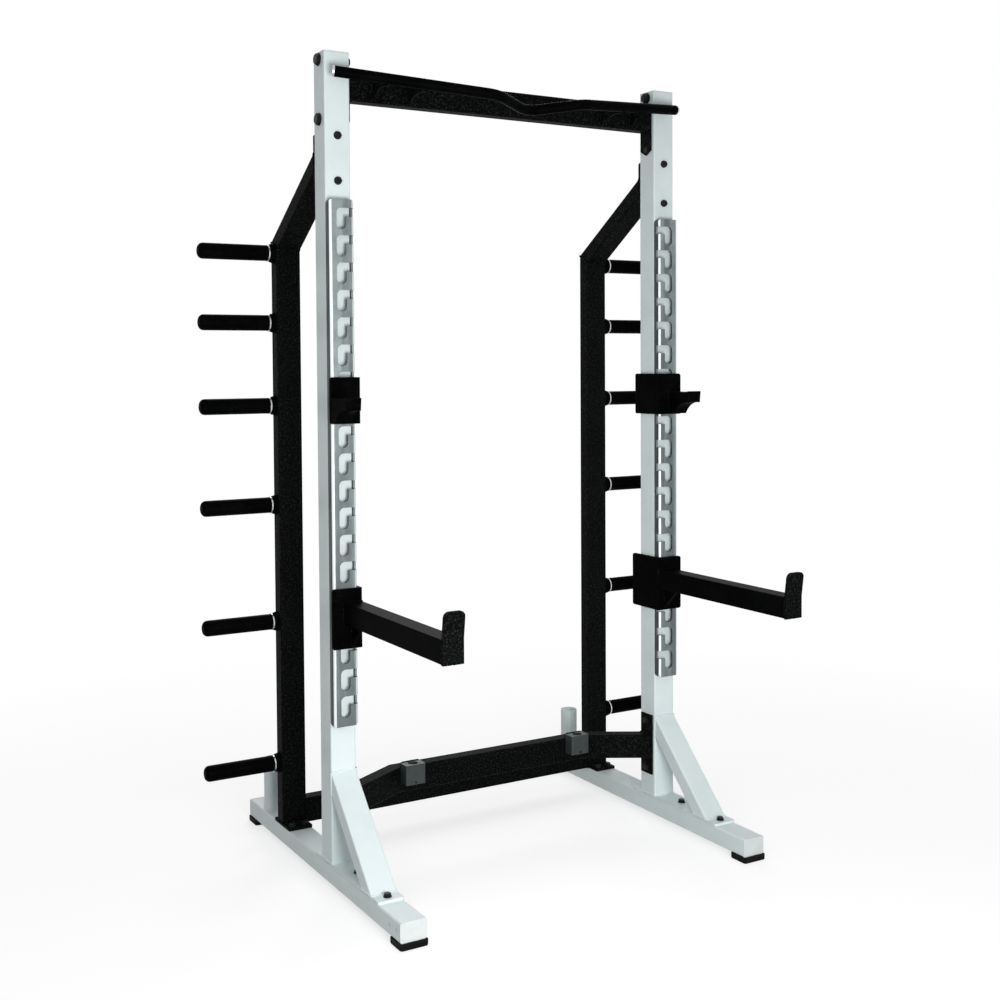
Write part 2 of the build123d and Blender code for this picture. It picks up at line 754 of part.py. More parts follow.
# Hook brackets: a front plate and an inner leg that wrap one corner of the upright
bracket_back_y = channel_face_y - hook_gap
bracket_front_y = bracket_back_y - hook_plate_thickness
leg_outer_x = upright_inner_x - hook_side_gap
leg_inner_x = leg_outer_x - hook_plate_thickness
bracket_outer_x = upright_outer_x + hook_outer_margin
bracket_width = bracket_outer_x - leg_inner_x
arm_x = leg_inner_x + arm_tube_width / 2
stud_x = upright_inner_x + slot_centre_shift
stud_heights = [top - slot_height + stud_diameter / 2 + stud_seat_gap for top in slot_tops]
jcup_bottom = stud_heights[jcup_slots_above_count + 1] - jcup_stud_rise
jcup_seat_height = jcup_bottom + jcup_seat_rise
arm_bracket_bottom = stud_heights[arm_slots_above_count + 1] - arm_stud_rise
arm_tube_bottom = arm_bracket_bottom + arm_tube_rise
stud_length = hook_gap + hook_channel_wall + stud_head_gap
hook_kinds = (
    ("j_cup", jcup_slots_above_count, jcup_bottom, jcup_height, jcup_leg_reach),
    ("spotter", arm_slots_above_count, arm_bracket_bottom, arm_bracket_height, arm_leg_reach),
)
for side, sign in sides:
    for kind, slot, bottom, height, leg_reach in hook_kinds:
        leg_rear_y = upright_y + leg_reach
        middle_z = bottom + height / 2
        with BuildPart() as hook_bracket:
            with BuildSketch(plan_plane(0, 0, bottom)):
                Polygon(
                    (sign * leg_inner_x, bracket_front_y),
                    (sign * bracket_outer_x, bracket_front_y),
                    (sign * bracket_outer_x, bracket_back_y),
                    (sign * leg_outer_x, bracket_back_y),
                    (sign * leg_outer_x, leg_rear_y),
                    (sign * leg_inner_x, leg_rear_y),
                    align=None,
                )
            extrude(amount=height)
            plate_corners = hook_bracket.edges().filter_by(Axis.Y).group_by(Axis.X)[-1 if sign > 0 else 0]
            leg_corners = hook_bracket.edges().filter_by(Axis.X).group_by(Axis.Y)[-1]
            fillet(plate_corners + leg_corners, hook_corner)
            uprights = hook_bracket.edges().filter_by(Axis.Z)
            bend_outside = uprights.sort_by_distance((sign * leg_inner_x, bracket_front_y, middle_z))[0]
            fillet(bend_outside, hook_bend)
            if kind == "spotter":
                with BuildSketch(side_plane(sign * arm_x - arm_gusset_thickness / 2)):
                    Polygon(
                        (bracket_front_y, arm_tube_bottom),
                        (bracket_front_y, arm_bracket_bottom + hook_corner),
                        (bracket_front_y - arm_gusset_length, arm_tube_bottom),
                        align=None,
                    )
                extrude(amount=arm_gusset_thickness)
        write(hook_bracket, f"{side}_{kind}_bracket")
        with BuildPart() as hook_studs:
            for step in (slot, slot + 1):
                with BuildSketch(front_plane(sign * stud_x, bracket_back_y, stud_heights[step])):
                    Circle(stud_diameter / 2)
                extrude(amount=-stud_length)
                with BuildSketch(front_plane(sign * stud_x, bracket_back_y + stud_length, stud_heights[step])):
                    Rectangle(stud_head_width, stud_head_height)
                extrude(amount=-stud_head_thickness)
        write(hook_studs, f"{side}_{kind}_studs")

# J-cup horns: the forward seat that the barbell rests on
horn_tip_y = bracket_front_y - jcup_horn_length
horn_heel_y = bracket_front_y - jcup_horn_heel
horn_root_low = jcup_seat_height - jcup_horn_root
horn_tip_low = jcup_seat_height + jcup_lip - jcup_horn_tip
horn_under_y = horn_tip_y + jcup_lip
horn_hollow_z = (horn_root_low + horn_tip_low) / 2 + jcup_horn_hollow
for side, sign in sides:
    horn_x = sign * (bracket_outer_x - jcup_horn_width / 2)
    with BuildPart() as jcup_horn:
        with BuildSketch(side_plane(horn_x - jcup_horn_width / 2)):
            with BuildLine():
                Polyline(
                    (horn_heel_y, horn_root_low),
                    (bracket_front_y, horn_root_low),
                    (bracket_front_y, jcup_seat_height),
                    (horn_tip_y + jcup_lip_length, jcup_seat_height),
                    (horn_tip_y, jcup_seat_height + jcup_lip),
                    (horn_under_y, horn_tip_low),
                )
                ThreePointArc(
                    (horn_under_y, horn_tip_low),
                    ((horn_under_y + horn_heel_y) / 2, horn_hollow_z),
                    (horn_heel_y, horn_root_low),
                )
            make_face()
        extrude(amount=jcup_horn_width)
        tip_edges = jcup_horn.edges().filter_by(Axis.X).sort_by(Axis.Y)[:2]
        fillet(tip_edges, jcup_tip_round)
    write(jcup_horn, f"{side}_j_cup_horn")

# Spotter arms: a tube that reaches forward and a stop plate at its tip that leans out above the tube
arm_tip_y = upright_y - front_reach + arm_stop_lean + arm_stop_thickness
arm_stop_top = arm_tube_bottom + arm_stop_height
for side, sign in sides:
    with BuildPart() as spotter_arm:
        with BuildSketch(front_plane(sign * arm_x, bracket_front_y, arm_tube_bottom + arm_tube_height / 2)):
            tube_profile(arm_tube_width, arm_tube_height, arm_tube_wall, arm_tube_corner)
        extrude(amount=bracket_front_y - arm_tip_y)
    write(spotter_arm, f"{side}_spotter_arm")
    with BuildPart() as arm_stop:
        with BuildSketch(side_plane(sign * arm_x - arm_tube_width / 2)):
            Polygon(
                (arm_tip_y, arm_tube_bottom),
                (arm_tip_y - arm_stop_thickness, arm_tube_bottom),
                (arm_tip_y - arm_stop_thickness, arm_tube_bottom + arm_tube_height),
                (arm_tip_y - arm_stop_thickness - arm_stop_lean, arm_stop_top),
                (arm_tip_y - arm_stop_lean, arm_stop_top),
                (arm_tip_y, arm_tube_bottom + arm_tube_height),
                align=None,
            )
        extrude(amount=arm_tube_width)
        fillet(arm_stop.edges().filter_by(Axis.Y).group_by(Axis.Z)[-1], arm_stop_round)
    write(arm_stop, f"{side}_spotter_stop")

# Bolts with hex heads: each place is the plane under a head, the stack it clamps and its nut's height
base_grip = plate_thickness + rail_wall
arm_grip = upright_tube + plate_thickness
beam_grip = upright_tube + beam_plate_thickness
base_places = []
arm_places = []
beam_places = []
lower_places = []
for side, sign in sides:
    x = sign * half_spacing
    for setback in base_bolt_setbacks:
        base_places.append((plan_plane(x, upright_y + setback, base_plate_top), base_grip, bolt_nut_height))
    for shift in (-rear_foot_bolt_spread / 2, rear_foot_bolt_spread / 2):
        rear_bolt_y = rear_plate_front_y + rear_foot_bolt_inset
        place = plan_plane(x + shift, rear_bolt_y, base_plate_top)
        base_places.append((place, base_grip, bolt_nut_height))
    for height in rear_arm_bolts:
        arm_places.append((front_plane(x, front_face_y, height), arm_grip, bolt_nut_height))
    for height, grip, nut in (
        (beam_bolt_low, beam_grip, 0),
        (beam_bolt_high, upright_tube, beam_bolt_nut_height),
    ):
        origin = (sign * upright_outer_x, upright_y, height)
        beam_places.append((Plane(origin=origin, x_dir=(0, 1, 0), z_dir=(sign, 0, 0)), grip, nut))
    for height in lower_bolts:
        origin = (sign * plate_inner_x, upright_y, height)
        place = Plane(origin=origin, x_dir=(0, 1, 0), z_dir=(-sign, 0, 0))
        lower_places.append((place, upright_wall + beam_plate_thickness, bolt_nut_height))
small_bolt = (bolt_diameter, bolt_head_across, bolt_head_height)
large_bolt = (beam_bolt_diameter, beam_bolt_head_across, beam_bolt_head_height)
bolt_sets = (
    ("base_bolts", ((small_bolt, base_places),)),
    ("rear_arm_bolts", ((small_bolt, arm_places),)),
    ("beam_bolts", ((large_bolt, beam_places), (small_bolt, lower_places))),
)
for name, groups in bolt_sets:
    with BuildPart() as bolt_set:
        for (diameter, across, head_height), places in groups:
            for place, grip, nut in places:
                with BuildSketch(place):
                    RegularPolygon(across / 2, 6, major_radius=False)
                extrude(amount=head_height)
                with BuildSketch(place):
                    Circle(diameter / 2)
                extrude(amount=-grip - nut)
                if nut > 0:
                    with BuildSketch(place.offset(-grip)):
                        RegularPolygon(across / 2, 6, major_radius=False)
                    extrude(amount=-nut)
    write(bolt_set, name)
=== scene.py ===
"""A half rack for barbell training: the finishes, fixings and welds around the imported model."""
import math

import bmesh
import bpy
from mathutils import Matrix, Vector


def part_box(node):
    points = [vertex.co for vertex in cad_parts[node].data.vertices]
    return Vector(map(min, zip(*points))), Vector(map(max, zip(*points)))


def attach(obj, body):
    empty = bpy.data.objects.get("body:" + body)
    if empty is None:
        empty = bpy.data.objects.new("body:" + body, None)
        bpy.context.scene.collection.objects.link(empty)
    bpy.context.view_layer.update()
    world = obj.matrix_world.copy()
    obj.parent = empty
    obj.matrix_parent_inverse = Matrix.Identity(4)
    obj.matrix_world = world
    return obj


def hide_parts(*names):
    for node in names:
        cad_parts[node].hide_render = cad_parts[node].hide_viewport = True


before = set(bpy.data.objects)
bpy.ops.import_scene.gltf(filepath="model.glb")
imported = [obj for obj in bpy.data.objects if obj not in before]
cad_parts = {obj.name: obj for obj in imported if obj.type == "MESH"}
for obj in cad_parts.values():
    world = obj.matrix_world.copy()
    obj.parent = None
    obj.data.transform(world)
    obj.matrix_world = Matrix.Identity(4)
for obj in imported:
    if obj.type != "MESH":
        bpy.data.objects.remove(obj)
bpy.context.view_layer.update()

# The two base rails are flat steel tubes that lie along the floor on both sides, drilled for bolts.
# They are sandblasted and powder coated white: a hard satin skin with a fine orange peel,
# a little dulled where shoes and plates brush past it.
WHITE_COAT = (0.80, 0.895, 0.90, 1.0)
WHITE_COAT_DULL = (0.65, 0.75, 0.755, 1.0)
WHITE_COAT_EDGE = (0.50, 0.58, 0.60, 1.0)
EDGE_TURNS = (0.99, 0.8)  # cosines of the turn at which an edge begins to show and shows fully


def node(tree, kind, inputs=None, **settings):
    """Add one node to a tree; an input that is a socket is linked, any other is set."""
    made = tree.nodes.new(kind)
    for key, value in settings.items():
        setattr(made, key, value)
    for key, value in (inputs or {}).items():
        if isinstance(value, bpy.types.NodeSocket):
            tree.links.new(value, made.inputs[key])
        else:
            made.inputs[key].default_value = value
    return made


def new_finish(name, **sockets):
    """Start a finish: its material, node tree, shader and the metres it is laid out in."""
    finish = bpy.data.materials.new(name)
    finish.use_nodes = True
    tree = finish.node_tree
    shader = tree.nodes["Principled BSDF"]
    for socket, value in sockets.items():
        shader.inputs[socket.replace("_", " ")].default_value = value
    place = node(tree, "ShaderNodeTexCoord").outputs["Object"]
    return finish, tree, shader, place


def grain(tree, place, scale, detail=2.0, roughness=0.5):
    """Even noise of about one over scale metres."""
    made = node(tree, "ShaderNodeTexNoise",
                {"Vector": place, "Scale": scale, "Detail": detail, "Roughness": roughness})
    return made.outputs[0]


def spread(tree, value, part, over):
    """Stretch the part of a value between two limits over another range, clamped."""
    made = node(tree, "ShaderNodeMapRange", {
        "Value": value, "From Min": part[0], "From Max": part[1], "To Min": over[0], "To Max": over[1]})
    return made.outputs[0]


def times(tree, first, second):
    """Product of two values."""
    return node(tree, "ShaderNodeMath", {0: first, 1: second}, operation="MULTIPLY").outputs[0]


def mixed(tree, share, first, second):
    """Colour between two others."""
    return node(tree, "ShaderNodeMix", {0: share, 6: first, 7: second}, data_type="RGBA").outputs[2]


def rounded_edges(tree, radius):
    """Normal rounded over the edges of a piece, and a mask of those edges."""
    rounded = node(tree, "ShaderNodeBevel", {"Radius": radius}, samples=4).outputs[0]
    flat = node(tree, "ShaderNodeNewGeometry").outputs["Normal"]
    turn = node(tree, "ShaderNodeVectorMath", {0: rounded, 1: flat}, operation="DOT_PRODUCT")
    return rounded, spread(tree, turn.outputs["Value"], EDGE_TURNS, (0.0, 1.0))


def lay_on(tree, shader, colour, roughness, normal, relief, strength, depth):
    """Wire the colour, the roughness and the fine relief of a finish into its shader."""
    bump = node(tree, "ShaderNodeBump", {
        "Strength": strength, "Distance": depth, "Normal": normal, "Height": relief})
    tree.links.new(colour, shader.inputs["Base Color"])
    tree.links.new(roughness, shader.inputs["Roughness"])
    tree.links.new(bump.outputs[0], shader.inputs["Normal"])


def dress(finish, *names):
    """Give CAD nodes a finish."""
    for name in names:
        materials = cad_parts[name].data.materials
        materials.clear()
        materials.append(finish)


def both(*names):
    """The left and the right node of each name."""
    return [f"{side}_{name}" for name in names for side in ("left", "right")]


white_coat, tree, shader, place = new_finish("white_powder_coat", Specular_IOR_Level=0.45)
rounded, edge = rounded_edges(tree, radius=0.0018)
dulled = spread(tree, grain(tree, place, scale=5.0, detail=5.0, roughness=0.6), (0.45, 0.75), (0.0, 0.55))
chips = spread(tree, grain(tree, place, scale=60.0, detail=4.0), (0.45, 0.7), (0.1, 0.9))
colour = mixed(tree, dulled, WHITE_COAT, WHITE_COAT_DULL)
colour = mixed(tree, times(tree, edge, chips), colour, WHITE_COAT_EDGE)
roughness = spread(tree, grain(tree, place, scale=30.0, detail=3.0), (0.3, 0.7), (0.32, 0.5))
orange_peel = grain(tree, place, scale=320.0, detail=1.0)
lay_on(tree, shader, colour, roughness, rounded, orange_peel, strength=0.16, depth=0.0006)
dress(white_coat, *both("base_rail"))

# Moulded plugs close the rail ends. They are white polyethylene pressed into the tube,
# slightly waxy and matt, with the faint ripple of the mould.
PLUG_WHITE = (0.77, 0.82, 0.81, 1.0)
PLUG_CLOUD = (0.66, 0.71, 0.70, 1.0)
PLUG_EDGE = (0.84, 0.88, 0.87, 1.0)

white_plug, tree, shader, place = new_finish("white_plastic", Specular_IOR_Level=0.4)
rounded, edge = rounded_edges(tree, radius=0.0012)
cloud = spread(tree, grain(tree, place, scale=25.0, detail=4.0), (0.4, 0.7), (0.0, 0.6))
colour = mixed(tree, edge, mixed(tree, cloud, PLUG_WHITE, PLUG_CLOUD), PLUG_EDGE)
roughness = spread(tree, grain(tree, place, scale=80.0), (0.3, 0.7), (0.42, 0.6))
ripple = grain(tree, place, scale=180.0)
lay_on(tree, shader, colour, roughness, rounded, ripple, strength=0.1, depth=0.0005)
dress(white_plug, "rail_end_caps")

# Four feet are moulded from black rubber and screwed under the rail ends. Each is a block
# with rounded corners, a groove round its middle and a narrower sole.
FOOT_RINGS = (  # height of each ring as a share of the foot, and how far it lies inside the outline
    (0.0, 0.0060), (0.0, 0.0030), (0.03, 0.0016), (0.09, 0.0008), (0.42, 0.0),
    (0.46, 0.0003), (0.48, 0.0016), (0.56, 0.0016), (0.58, 0.0003), (0.62, 0.0),
    (0.95, 0.0), (0.985, 0.0006), (1.0, 0.0020), (1.0, 0.0060))
FOOT_CORNER = 0.010
FOOT_SMALLEST_CORNER = 0.0005
FOOT_CORNER_STEPS = 6
FOOT_CREASE = math.radians(32)
RUBBER = (0.004, 0.004, 0.0045, 1.0)
RUBBER_DUST = (0.014, 0.014, 0.015, 1.0)
RUBBER_EDGE = (0.035, 0.035, 0.035, 1.0)

rubber, tree, shader, place = new_finish("black_rubber", Specular_IOR_Level=0.08)
rounded, edge = rounded_edges(tree, radius=0.001)
dust = spread(tree, grain(tree, place, scale=40.0, detail=5.0, roughness=0.65), (0.45, 0.75), (0.0, 0.8))
colour = mixed(tree, dust, RUBBER, RUBBER_DUST)
colour = mixed(tree, times(tree, edge, dust), colour, RUBBER_EDGE)
roughness = spread(tree, grain(tree, place, scale=120.0, detail=3.0), (0.3, 0.7), (0.55, 0.8))
pores = grain(tree, place, scale=900.0, detail=3.0)
lay_on(tree, shader, colour, roughness, rounded, pores, strength=0.3, depth=0.0005)


def moulded_foot(name, low, high):
    """Closed block between two box corners: rounded rectangles stacked upwards."""
    mesh = bmesh.new()
    middle = (low + high) / 2
    loops = []
    for share, inset in FOOT_RINGS:
        radius = max(FOOT_CORNER - inset, FOOT_SMALLEST_CORNER)
        half_x = (high.x - low.x) / 2 - inset - radius
        half_y = (high.y - low.y) / 2 - inset - radius
        loop = []
        for quarter, (way_x, way_y) in enumerate(((1, 1), (-1, 1), (-1, -1), (1, -1))):
            for step in range(FOOT_CORNER_STEPS + 1):
                turn = math.pi / 2 * (quarter + step / FOOT_CORNER_STEPS)
                loop.append(mesh.verts.new((
                    middle.x + way_x * half_x + radius * math.cos(turn),
                    middle.y + way_y * half_y + radius * math.sin(turn),
                    low.z + (high.z - low.z) * share)))
        loops.append(loop)
    count = len(loops[0])
    for below, above in zip(loops, loops[1:]):
        for k in range(count):
            mesh.faces.new((below[k], below[(k + 1) % count], above[(k + 1) % count], above[k]))
    mesh.faces.new(list(reversed(loops[0])))
    mesh.faces.new(loops[-1])
    bmesh.ops.recalc_face_normals(mesh, faces=mesh.faces)
    data = bpy.data.meshes.new(name)
    mesh.to_mesh(data)
    mesh.free()
    data.polygons.foreach_set("use_smooth", [True] * len(data.polygons))
    data.set_sharp_from_angle(angle=FOOT_CREASE)
    data.materials.append(rubber)
    piece = bpy.data.objects.new(name, data)
    bpy.context.scene.collection.objects.link(piece)
    return piece


for node_name in both("front_foot", "rear_foot"):
    foot = moulded_foot(f"moulded_{node_name}", *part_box(node_name))
    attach(foot, "rack_frame")
    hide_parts(node_name)

# Base plates, uprights, caps, braces and the two bar holders are steel in the same white coat.
# The plates are bolted down on the rails; each upright and brace is welded to its plate.
dress(white_coat, *both("upright_base_plate", "front_upright", "upright_brace", "bar_holder"), "upright_caps")

# Fillet welds run round every joint of the white tubes: short overlapping ripples of steel,
# blasted and coated together with the tubes.
BEAD_PITCH = 0.0036
BEAD_RADIUS = 0.0032
BEAD_LEAST, BEAD_MOST = 0.82, 1.1
BEAD_SEED = 7
TUBE_CORNER = 0.005
BRACE_END = 0.0707  # a brace is 50 mm deep and cut at 45 degrees
RING_PARTS = 28


def growing_tree(name, *sizes):
    """Start a geometry tree with named inputs for its sizes and its finish."""
    made = bpy.data.node_groups.new(name, "GeometryNodeTree")
    made.is_modifier = True
    made.interface.new_socket("Geometry", in_out="INPUT", socket_type="NodeSocketGeometry")
    for label in sizes:
        made.interface.new_socket(label, in_out="INPUT", socket_type="NodeSocketFloat")
    made.interface.new_socket("Finish", in_out="INPUT", socket_type="NodeSocketMaterial")
    made.interface.new_socket("Geometry", in_out="OUTPUT", socket_type="NodeSocketGeometry")
    return made, node(made, "NodeGroupInput").outputs


def grown_piece(name, growing, points, edges=(), axes=(), grips=(), **values):
    """Run a geometry tree on points or seams, and keep what grows there as a plain mesh."""
    seeds = bpy.data.meshes.new(f"{name}_seeds")
    seeds.from_pydata([tuple(point) for point in points], edges, [])
    if axes:
        layer = seeds.attributes.new("axis", "FLOAT_VECTOR", "POINT")
        layer.data.foreach_set("vector", [part for axis in axes for part in axis])
        layer = seeds.attributes.new("grip", "FLOAT", "POINT")
        layer.data.foreach_set("value", list(grips))
    piece = bpy.data.objects.new(name, seeds)
    bpy.context.scene.collection.objects.link(piece)
    grower = piece.modifiers.new(growing.name, "NODES")
    grower.node_group = growing
    for item in growing.interface.items_tree:
        label = item.name.replace(" ", "_").lower()
        if item.in_out == "INPUT" and label in values:
            grower[item.identifier] = values[label]
    grown = bpy.data.meshes.new_from_object(piece.evaluated_get(bpy.context.evaluated_depsgraph_get()))
    piece.modifiers.remove(grower)
    piece.data = grown
    return piece


weld_tree, sizes = growing_tree("weld_ripples", "Pitch", "Radius")
seam = node(weld_tree, "GeometryNodeMeshToCurve", {"Mesh": sizes["Geometry"]})
seam = node(weld_tree, "GeometryNodeResampleCurve",
            {"Curve": seam.outputs[0], "Length": sizes["Pitch"]}, mode="LENGTH")
run = node(weld_tree, "GeometryNodeInputTangent").outputs[0]
turn = node(weld_tree, "FunctionNodeAlignRotationToVector", {"Vector": run}, axis="X")
uneven = node(weld_tree, "FunctionNodeRandomValue",
              {"Seed": BEAD_SEED, 2: BEAD_LEAST, 3: BEAD_MOST}, data_type="FLOAT")
drop = node(weld_tree, "GeometryNodeMeshUVSphere", {"Segments": 8, "Rings": 5, "Radius": sizes["Radius"]})
ripples = node(weld_tree, "GeometryNodeInstanceOnPoints", {
    "Points": seam.outputs[0], "Instance": drop.outputs["Mesh"], "Rotation": turn.outputs[0],
    "Scale": uneven.outputs[1]})
ripples = node(weld_tree, "GeometryNodeRealizeInstances", {"Geometry": ripples.outputs[0]})
ripples = node(weld_tree, "GeometryNodeSetShadeSmooth", {0: ripples.outputs[0]})
ripples = node(weld_tree, "GeometryNodeSetMaterial",
               {"Geometry": ripples.outputs[0], "Material": sizes["Finish"]})
node(weld_tree, "NodeGroupOutput", {0: ripples.outputs[0]})


def round_joint(across, at, low, high, tilt=0.0):
    """Seam round a tube's end: a rounded rectangle across one axis, that may lean along the last."""
    first, second = [axis for axis in range(3) if axis != across]
    middle = [(a + b) / 2 for a, b in zip(low, high)]
    loop = []
    for way_a, way_b in ((1, 1), (-1, 1), (-1, -1), (1, -1)):
        spot = Vector(middle)
        spot[first] = high[first] if way_a > 0 else low[first]
        spot[second] = high[second] if way_b > 0 else low[second]
        spot[across] = at
        loop.append(spot)
    points = []
    for k, spot in enumerate(loop):
        back = spot + (loop[k - 1] - spot).normalized() * TUBE_CORNER
        on = spot + (loop[(k + 1) % 4] - spot).normalized() * TUBE_CORNER
        bend_middle = back * 0.25 + spot * 0.5 + on * 0.25
        points += [back, bend_middle, on]
    for spot in points:
        spot[across] += tilt * (spot[second] - middle[second])
    return points + points[:1]


def ring_joint(centre, radius):
    """Level seam round an upright tube."""
    turns = [math.tau * k / RING_PARTS for k in range(RING_PARTS + 1)]
    return [centre + Vector((math.cos(turn), math.sin(turn), 0.0)) * radius for turn in turns]


def weld(name, body, seams, finish):
    """Lay ripples along seams that are lists of points, on one body."""
    points, edges = [], []
    for seam_points in seams:
        edges += [(len(points) + k, len(points) + k + 1) for k in range(len(seam_points) - 1)]
        points += seam_points
    beads = grown_piece(name, weld_tree, points, edges, pitch=BEAD_PITCH, radius=BEAD_RADIUS, finish=finish)
    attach(beads, body)


white_seams = []
for side in ("left", "right"):
    low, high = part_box(f"{side}_front_upright")
    white_seams.append(round_joint(2, low.z, low, high))
    front = low.y
    low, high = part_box(f"{side}_upright_brace")
    white_seams.append(round_joint(1, front, Vector((low.x, 0, high.z - BRACE_END)), high))
    white_seams.append(round_joint(2, low.z, low, Vector((high.x, low.y + BRACE_END, 0))))
    low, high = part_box(f"{side}_bar_holder")
    foot_middle = Vector(((low.x + high.x) / 2, (low.y + high.y) / 2, low.z))
    white_seams.append(ring_joint(foot_middle, (high.x - low.x) / 2))
weld("white_welds", "rack_frame", white_seams, white_coat)

# The hook channels are bent from steel plate, laser cut with J slots and zinc plated.
# The front face is grey; a painted highlight lies on the bends and cut edges, and a painted shade on the cut
# walls and flanks, set by which way each surface faces.
CHANNEL_FACE = (0.30, 0.355, 0.36, 1.0)
CHANNEL_CLOUD = (0.20, 0.24, 0.245, 1.0)
CHANNEL_LINE = (0.12, 0.145, 0.15, 1.0)
CHANNEL_STREAK = (0.055, 0.067, 0.070, 1.0)
# A pale painted highlight for the bends and cut edges.
CHANNEL_PAINTED_HIGHLIGHT = (0.80, 0.86, 0.87, 1.0)
# A near black painted shade for the flanks and cut walls.
CHANNEL_PAINTED_SHADE = (0.012, 0.015, 0.016, 1.0)
LINE_STRENGTH, CHANNEL_EDGE_HIGHLIGHT_STRENGTH, BEND_HIGHLIGHT_STRENGTH = 0.35, 0.35, 0.9

zinc, tree, shader, place = new_finish("grey_channel_steel", Metallic=0.4)
rounded, edge = rounded_edges(tree, radius=0.0012)
drawn = node(tree, "ShaderNodeMapping", {"Vector": place, "Scale": (1.0, 1.0, 0.03)}).outputs[0]
dragged = node(tree, "ShaderNodeMapping", {
    "Vector": place, "Location": (0.25, 0.0, 0.0), "Scale": (1.0, 1.0, 0.04)}).outputs[0]
cloud = spread(tree, grain(tree, place, scale=22.0, detail=5.0, roughness=0.6), (0.35, 0.7), (0.0, 1.0))
lines = spread(tree, grain(tree, drawn, scale=700.0, detail=3.0, roughness=0.6), (0.3, 0.7), (0.0, 1.0))
streaks = spread(tree, grain(tree, dragged, scale=26.0), (0.44, 0.60), (0.0, 0.6))
facing = node(tree, "ShaderNodeNewGeometry").outputs["Normal"]
facing = node(tree, "ShaderNodeSeparateXYZ", {0: facing}).outputs["Y"]
ahead = node(tree, "ShaderNodeMath", {0: facing}, operation="ABSOLUTE").outputs[0]
# Painted highlight: surfaces turned partly sideways, as on the bends, are made pale.
painted_bend_highlight = times(tree, spread(tree, ahead, (0.55, 0.65), (0.0, 1.0)),
             spread(tree, ahead, (0.95, 0.995), (1.0, 0.0)))
# Painted shade: surfaces that face away from front and back, the flanks and cut walls, are made near black.
painted_flank_shade = times(tree, spread(tree, ahead, (0.45, 0.6), (1.0, 0.0)),
              spread(tree, cloud, (0.0, 1.0), (0.95, 0.8)))
colour = mixed(tree, cloud, CHANNEL_FACE, CHANNEL_CLOUD)
colour = mixed(tree, times(tree, lines, LINE_STRENGTH), colour, CHANNEL_LINE)
colour = mixed(tree, streaks, colour, CHANNEL_STREAK)
# The next lines paint a highlight on the cut edges and bends, and shade on the flanks and cut walls.
colour = mixed(tree, times(tree, edge, CHANNEL_EDGE_HIGHLIGHT_STRENGTH), colour, CHANNEL_PAINTED_HIGHLIGHT)
colour = mixed(tree, times(tree, painted_bend_highlight, BEND_HIGHLIGHT_STRENGTH), colour, CHANNEL_PAINTED_HIGHLIGHT)
colour = mixed(tree, painted_flank_shade, colour, CHANNEL_PAINTED_SHADE)
roughness = spread(tree, lines, (0.0, 1.0), (0.34, 0.52))
lay_on(tree, shader, colour, roughness, rounded, lines, strength=0.12, depth=0.0003)
dress(zinc, *both("hook_channel"))

# Rear posts, their arms and plates, the beams and the cross tube are flat tube and plate.
# Their black powder coat has a fine sandy texture that catches the light as small specks.
SANDY_BLACK = (0.0008, 0.0009, 0.0009, 1.0)
SANDY_FADED = (0.0018, 0.0020, 0.0020, 1.0)
SANDY_SPECK = (0.028, 0.032, 0.0325, 1.0)
SANDY_EDGE = (0.055, 0.057, 0.058, 1.0)
SPECK_STRENGTH = 0.9

sandy, tree, shader, place = new_finish("black_texture_coat", Specular_IOR_Level=0.025)
rounded, edge = rounded_edges(tree, radius=0.0018)
sand = grain(tree, place, scale=180.0, detail=4.0, roughness=0.75)
specks = spread(tree, sand, (0.52, 0.66), (0.0, 1.0))
faded = spread(tree, grain(tree, place, scale=7.0, detail=4.0), (0.4, 0.7), (0.0, 1.0))
chips = spread(tree, grain(tree, place, scale=70.0, detail=4.0), (0.5, 0.75), (0.0, 0.8))
colour = mixed(tree, faded, SANDY_BLACK, SANDY_FADED)
colour = mixed(tree, times(tree, specks, SPECK_STRENGTH), colour, SANDY_SPECK)
colour = mixed(tree, times(tree, edge, chips), colour, SANDY_EDGE)
roughness = spread(tree, sand, (0.3, 0.7), (0.72, 0.5))
lay_on(tree, shader, colour, roughness, rounded, sand, strength=0.55, depth=0.0006)
dress(sandy, *both("rear_post", "rear_arm", "rear_post_foot_plate", "rear_arm_plate", "bar_brackets"),
      "top_beam", "beam_end_plates", "lower_front_beam", "lower_end_plates", "rear_cross_tube")

# The black tubes are welded to their plates and to each other, under the same coat.
# A fillet runs round each tube end, and round the back of each socket on the lower beam.
MITRE_SLOPE = 0.5430  # of the cut between a rear post and its arm
MITRE_DROP = 0.01357  # from the top of a rear post to the middle of that cut
ARM_END = 0.0597  # height of the rear arm where it meets its plate
FLATNESS = 0.0005


def face_box(node_name, axis, at):
    """Lowest and highest corner of what a node has in one plane across an axis."""
    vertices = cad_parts[node_name].data.vertices
    spots = [vertex.co for vertex in vertices if abs(vertex.co[axis] - at) < FLATNESS]
    return Vector([min(values) for values in zip(*spots)]), Vector([max(values) for values in zip(*spots)])


